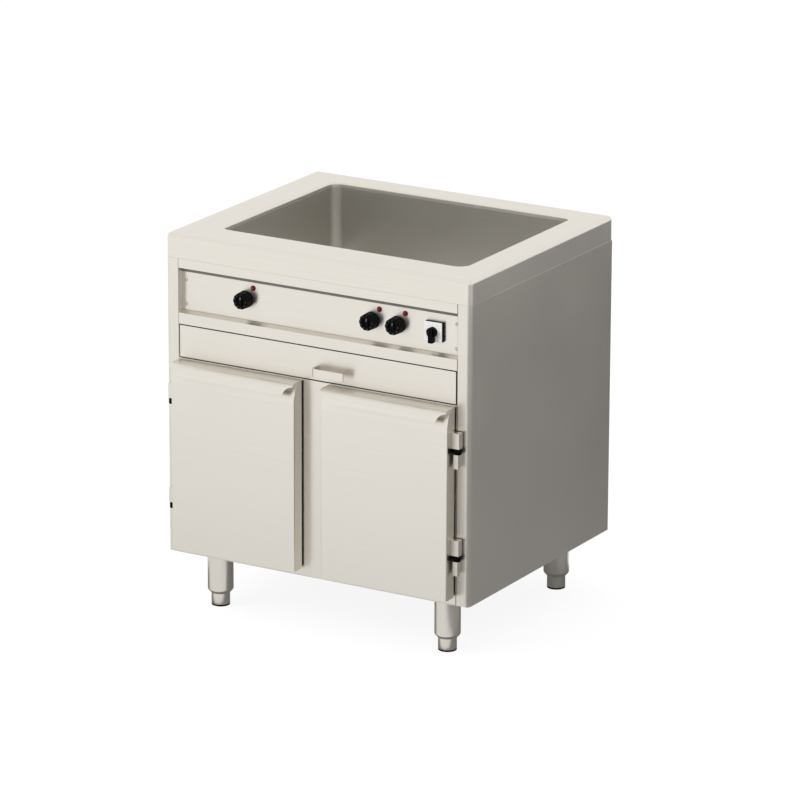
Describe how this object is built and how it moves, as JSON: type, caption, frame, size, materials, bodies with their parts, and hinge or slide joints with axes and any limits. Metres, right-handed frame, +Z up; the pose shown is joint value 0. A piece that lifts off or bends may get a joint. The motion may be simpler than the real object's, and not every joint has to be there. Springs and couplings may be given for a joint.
{
  "type": "hot cupboard with water well",
  "caption": "Free-standing stainless hot cupboard: heated water well in the worktop, thermostat controls, shallow drawer, insulated hinged doors with pull lips, adjustable feet.",
  "frame": {"origin": "middle of the bounding box on the floor, under the feet", "axes": "+X to the right seen from the front, +Y to the back, +Z up"},
  "size_m": [0.8, 0.712, 0.897],
  "materials": {
    "brushed_steel": "satin brushed stainless steel sheet",
    "inner_steel": "plain stainless steel sheet",
    "element_sheath": "dull grey heating element sheath",
    "black_plastic": "satin black moulded plastic",
    "white_plastic": "semi-gloss white plastic",
    "red_lens": "clear dark red plastic lens",
    "mineral_wool": "matt fibrous slab",
    "door_rubber": "matt black rubber"
  },
  "bodies": {
    "cabinet": {"worktop": "brushed_steel", "left_side_panel": "brushed_steel", "right_side_panel": "brushed_steel", "back_panel": "brushed_steel", "base_panel": "brushed_steel", "header_rail": "brushed_steel", "control_panel": "brushed_steel", "sill_rail": "brushed_steel", "door_frame": "brushed_steel", "hinge_frame_leaves": "brushed_steel", "leg_tubes": "brushed_steel", "well_basin": "inner_steel", "drain_flange": "inner_steel", "drain_pipe": "inner_steel", "cupboard_liner": "inner_steel", "shelf": "inner_steel", "shelf_supports": "inner_steel", "heater_cover": "inner_steel", "drawer_runners": "inner_steel", "panel_screws": "inner_steel", "thermostats": "inner_steel", "well_heater": "element_sheath", "cupboard_heaters": "element_sheath", "switch_box": "black_plastic", "hinge_washers": "black_plastic", "cable_gland": "black_plastic", "switch_plate": "white_plastic", "pilot_lights": "red_lens", "insulation": "mineral_wool"},
    "left_door": {"left_door_skin": "brushed_steel", "left_door_lip": "brushed_steel", "left_door_pan": "inner_steel", "left_door_core": "mineral_wool", "left_door_seal": "door_rubber", "left_door_hinges": "brushed_steel"},
    "right_door": {"right_door_skin": "brushed_steel", "right_door_lip": "brushed_steel", "right_door_pan": "inner_steel", "right_door_core": "mineral_wool", "right_door_seal": "door_rubber", "right_door_hinges": "brushed_steel"},
    "drawer": {"drawer_front": "brushed_steel", "drawer_box": "inner_steel", "drawer_handle": "brushed_steel"},
    "well_control": {"well_knob": "black_plastic", "well_spindle": "inner_steel"},
    "left_heat_control": {"left_knob": "black_plastic", "left_spindle": "inner_steel"},
    "right_heat_control": {"right_knob": "black_plastic", "right_spindle": "inner_steel"},
    "main_switch": {"switch_lever": "black_plastic"},
    "front_left_leg_foot": {"front_left_foot": "brushed_steel", "front_left_pad": "black_plastic"},
    "front_right_leg_foot": {"front_right_foot": "brushed_steel", "front_right_pad": "black_plastic"},
    "back_left_leg_foot": {"back_left_foot": "brushed_steel", "back_left_pad": "black_plastic"},
    "back_right_leg_foot": {"back_right_foot": "brushed_steel", "back_right_pad": "black_plastic"}
  },
  "joints": [
    {"name": "left_door_swing", "type": "hinge", "parent": "cabinet", "child": "left_door", "pos_m": [-0.3755, -0.31402, 0.254], "axis": [0, 0, -1], "range_deg": [0, 120]},
    {"name": "right_door_swing", "type": "hinge", "parent": "cabinet", "child": "right_door", "pos_m": [0.3755, -0.31402, 0.254], "axis": [0, 0, 1], "range_deg": [0, 120]},
    {"name": "drawer_slide", "type": "slide", "parent": "cabinet", "child": "drawer", "axis": [0, -1, 0], "range_m": [0, 0.36]},
    {"name": "well_knob_turn", "type": "hinge", "parent": "cabinet", "child": "well_control", "pos_m": [-0.196, -0.2855, 0.765], "axis": [0, 1, 0], "range_deg": [0, 270]},
    {"name": "left_heat_knob_turn", "type": "hinge", "parent": "cabinet", "child": "left_heat_control", "pos_m": [0.136, -0.2855, 0.765], "axis": [0, 1, 0], "range_deg": [0, 270]},
    {"name": "right_heat_knob_turn", "type": "hinge", "parent": "cabinet", "child": "right_heat_control", "pos_m": [0.203, -0.2855, 0.765], "axis": [0, 1, 0], "range_deg": [0, 270]},
    {"name": "main_switch_turn", "type": "hinge", "parent": "cabinet", "child": "main_switch", "pos_m": [0.3, -0.2855, 0.765], "axis": [0, -1, 0], "range_deg": [0, 90]},
    {"name": "front_left_foot_adjust", "type": "slide", "parent": "cabinet", "child": "front_left_leg_foot", "axis": [0, 0, -1], "range_m": [0, 0.03]},
    {"name": "front_right_foot_adjust", "type": "slide", "parent": "cabinet", "child": "front_right_leg_foot", "axis": [0, 0, -1], "range_m": [0, 0.03]},
    {"name": "back_left_foot_adjust", "type": "slide", "parent": "cabinet", "child": "back_left_leg_foot", "axis": [0, 0, -1], "range_m": [0, 0.03]},
    {"name": "back_right_foot_adjust", "type": "slide", "parent": "cabinet", "child": "back_right_leg_foot", "axis": [0, 0, -1], "range_m": [0, 0.03]}
  ]
}
